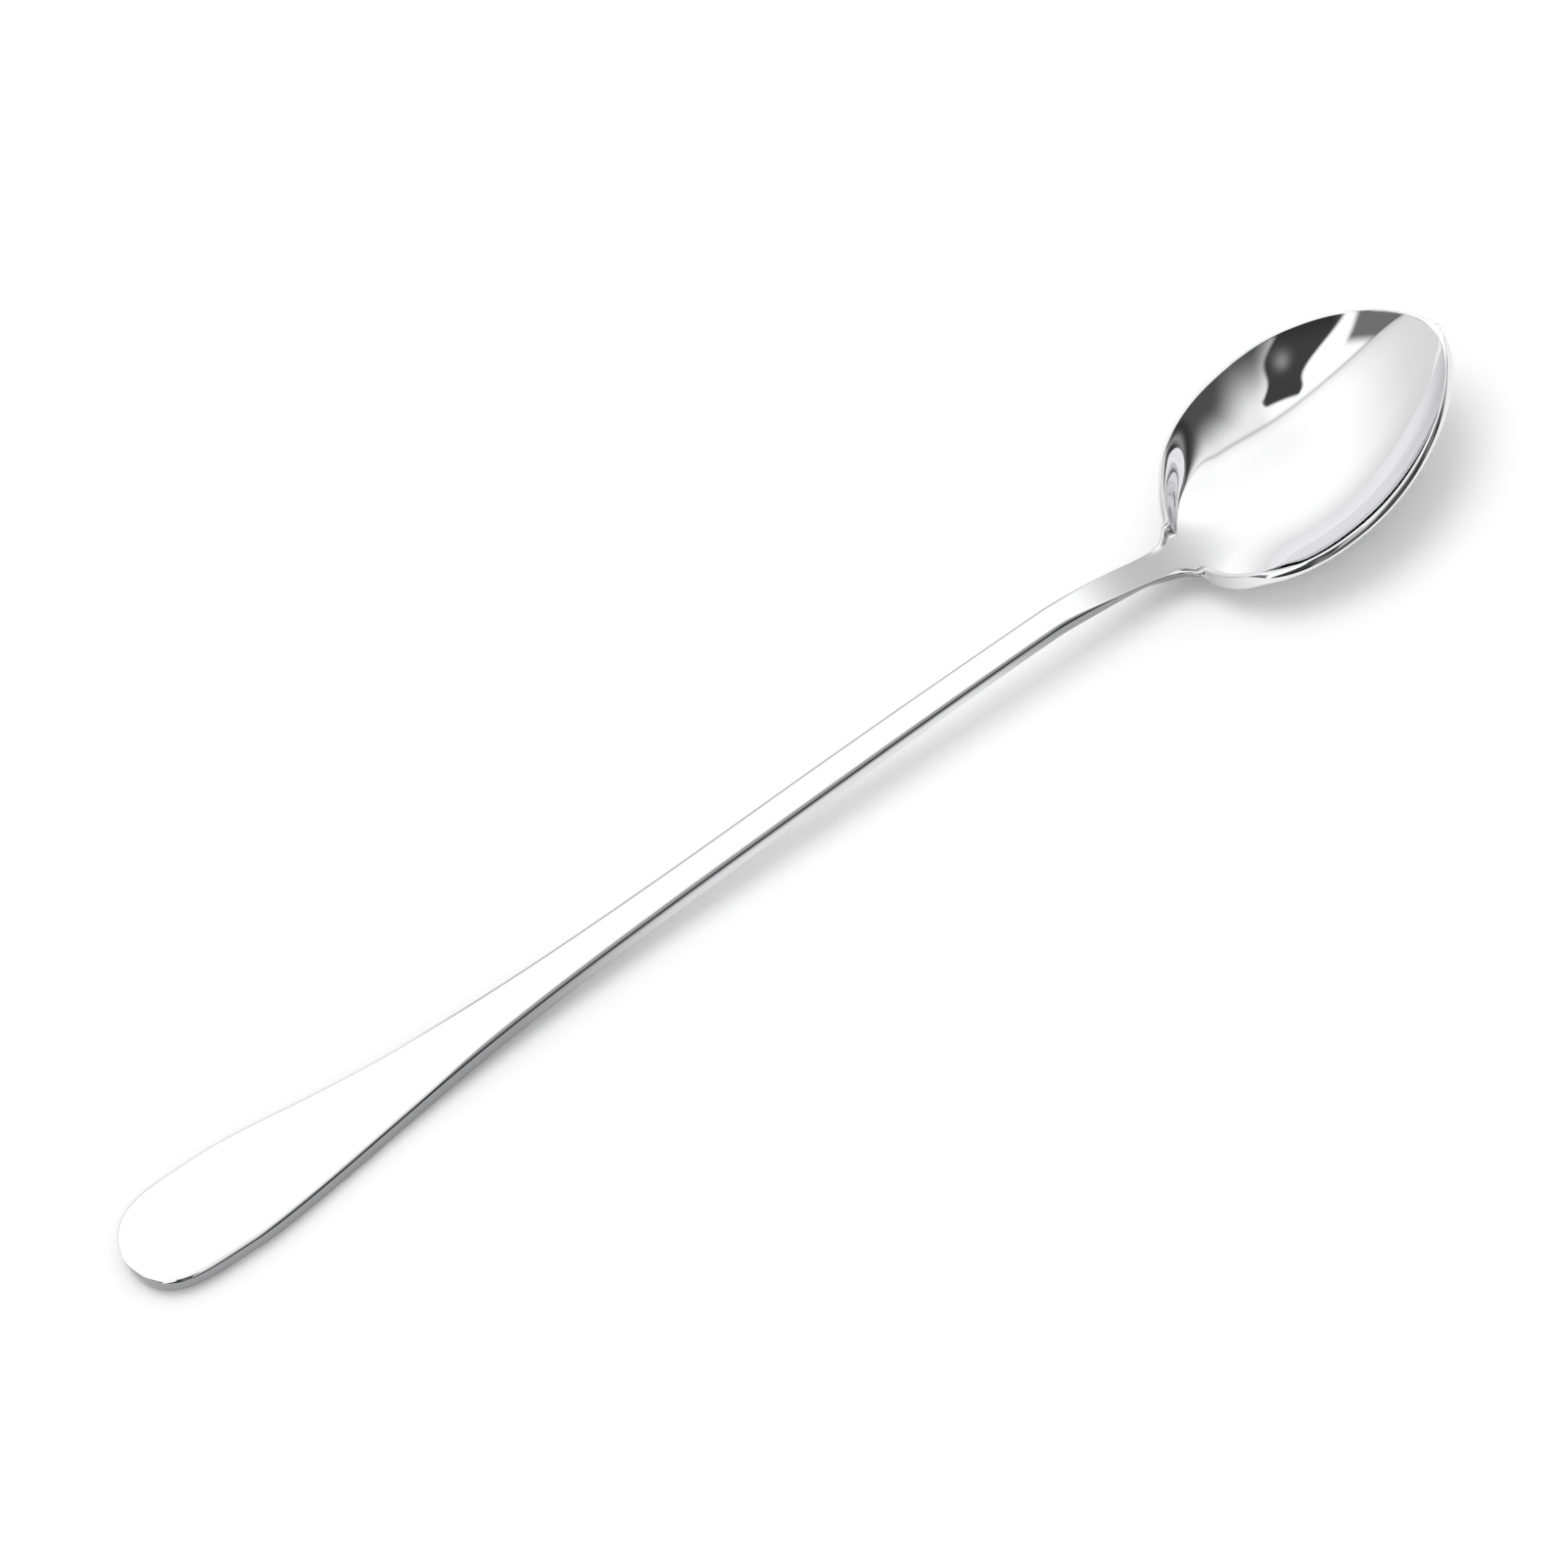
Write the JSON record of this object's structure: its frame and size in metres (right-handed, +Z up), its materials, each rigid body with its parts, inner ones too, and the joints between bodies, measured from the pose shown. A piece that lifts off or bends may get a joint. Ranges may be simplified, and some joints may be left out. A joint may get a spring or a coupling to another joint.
{
  "type": "iced tea spoon",
  "caption": "Long-handled iced tea spoon in polished stainless steel, with a small egg-shaped bowl, a slim arched shank and a broad flat handle end.",
  "frame": {"origin": "the middle of the bounding box's bottom face, on the surface the spoon lies on", "axes": "+X from the handle end to the bowl tip, +Z up out of the open bowl, +Y across the spoon"},
  "size_m": [0.19, 0.0312, 0.0137],
  "materials": {
    "steel": "mirror-polished stainless steel, bare metal with no coating"
  },
  "bodies": {
    "root": {"spoon": "steel"}
  },
  "joints": []
}
